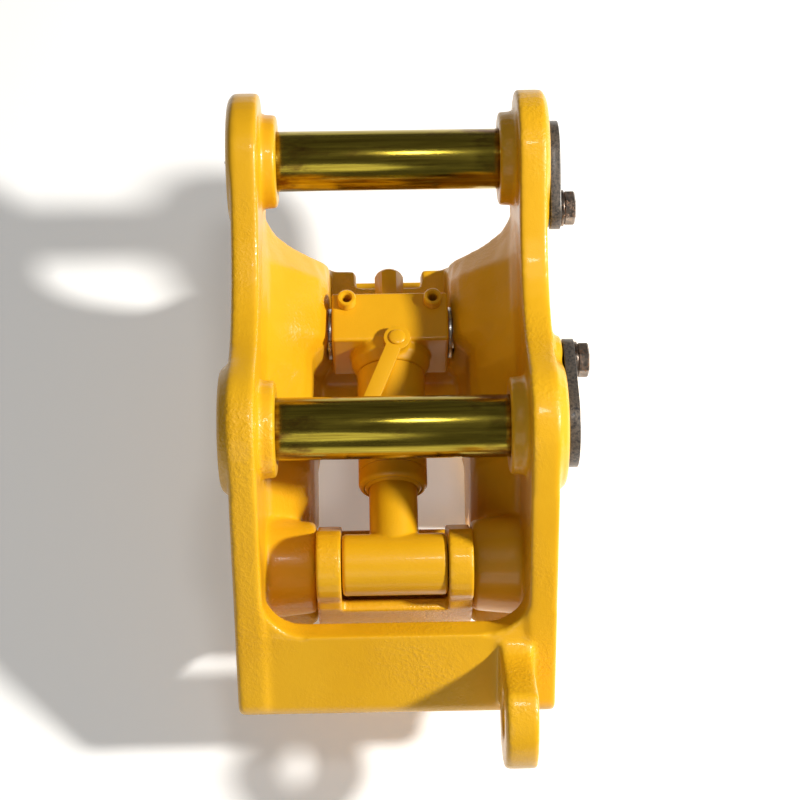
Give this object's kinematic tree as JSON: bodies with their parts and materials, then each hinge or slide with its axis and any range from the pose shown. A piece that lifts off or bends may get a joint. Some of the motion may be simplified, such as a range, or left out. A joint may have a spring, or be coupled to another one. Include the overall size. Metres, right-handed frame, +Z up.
{
  "type": "excavator quick coupler",
  "caption": "Hydraulic pin-grabber quick coupler for a small excavator: cast body with a fixed hook, swinging jaw, trunnion cylinder and two machine pins with flag keepers.",
  "frame": {"origin": "centre of the bounding box at its underside, where the hooks rest", "axes": "+X along the machine pins towards the keepers, +Y towards the fixed hook, +Z up from the hooks to the machine pins"},
  "size_m": [0.2944, 0.553, 0.3018],
  "materials": {
    "yellow_enamel": "glossy golden-yellow enamel over a cast skin",
    "zinc_plated_pin": "olive-gold zinc plating on a ground pin",
    "black_keeper_paint": "black paint scratched to steel at the edges",
    "scratched_bolt_steel": "blackened bolt steel, worn and lightly rusted",
    "bright_steel": "machined steel",
    "hard_chrome": "hard chrome, ground",
    "bearing_bronze": "cast bronze, bored",
    "seal_rubber": "matt black"
  },
  "bodies": {
    "coupler": {"coupler_body": "yellow_enamel", "front_pin": "zinc_plated_pin", "rear_pin": "zinc_plated_pin", "front_pin_keeper": "black_keeper_paint", "rear_pin_keeper": "black_keeper_paint", "front_keeper_bolt": "scratched_bolt_steel", "rear_keeper_bolt": "scratched_bolt_steel", "front_keeper_washer": "scratched_bolt_steel", "rear_keeper_washer": "scratched_bolt_steel", "front_pin_grease_nipple": "bright_steel", "rear_pin_grease_nipple": "bright_steel", "jaw_pivot_pin": "hard_chrome", "jaw_pin_ring_left": "bright_steel", "jaw_pin_ring_right": "bright_steel", "trunnion_pin_left": "bright_steel", "trunnion_pin_right": "bright_steel", "trunnion_washer_left": "bright_steel", "trunnion_washer_right": "bright_steel"},
    "cylinder": {"cylinder_block": "yellow_enamel", "cylinder_tube": "yellow_enamel", "cylinder_gland": "yellow_enamel", "rod_wiper": "seal_rubber", "check_valve_cartridge": "yellow_enamel", "port_adapter_left": "yellow_enamel", "port_adapter_right": "yellow_enamel", "lever_stud": "yellow_enamel"},
    "rod": {"piston_rod": "yellow_enamel", "piston": "bright_steel", "piston_seal": "seal_rubber", "piston_nut": "bright_steel"},
    "jaw": {"moving_jaw": "yellow_enamel", "rod_end_pin": "hard_chrome", "jaw_bush_left": "bearing_bronze", "jaw_bush_right": "bearing_bronze", "rod_pin_ring_left": "bright_steel", "rod_pin_ring_right": "bright_steel"},
    "lever": {"lock_lever": "yellow_enamel"}
  },
  "joints": [
    {"name": "jaw_swing", "type": "hinge", "parent": "coupler", "child": "jaw", "pos_m": [-0.0107, -0.0965, 0.12], "axis": [-1, 0, 0], "range_deg": [0, 36]},
    {"name": "cylinder_swing", "type": "hinge", "parent": "coupler", "child": "cylinder", "pos_m": [-0.0107, 0.1035, 0.147], "axis": [-1, 0, 0], "range_deg": [0, 1]},
    {"name": "rod_slide", "type": "slide", "parent": "cylinder", "child": "rod", "axis": [0, 0.9942, -0.1074], "range_m": [0, 0.0325]},
    {"name": "lever_swing", "type": "hinge", "parent": "cylinder", "child": "lever", "pos_m": [-0.0052, 0.08226, 0.18319], "axis": [0, 0.1074, 0.9942], "range_deg": [-15, 45]}
  ],
  "couplings": [
    {"joint": "cylinder_swing", "follows": "jaw_swing", "ratio": 0.025},
    {"joint": "rod_slide", "follows": "jaw_swing", "m_per_rad": 0.0507}
  ]
}
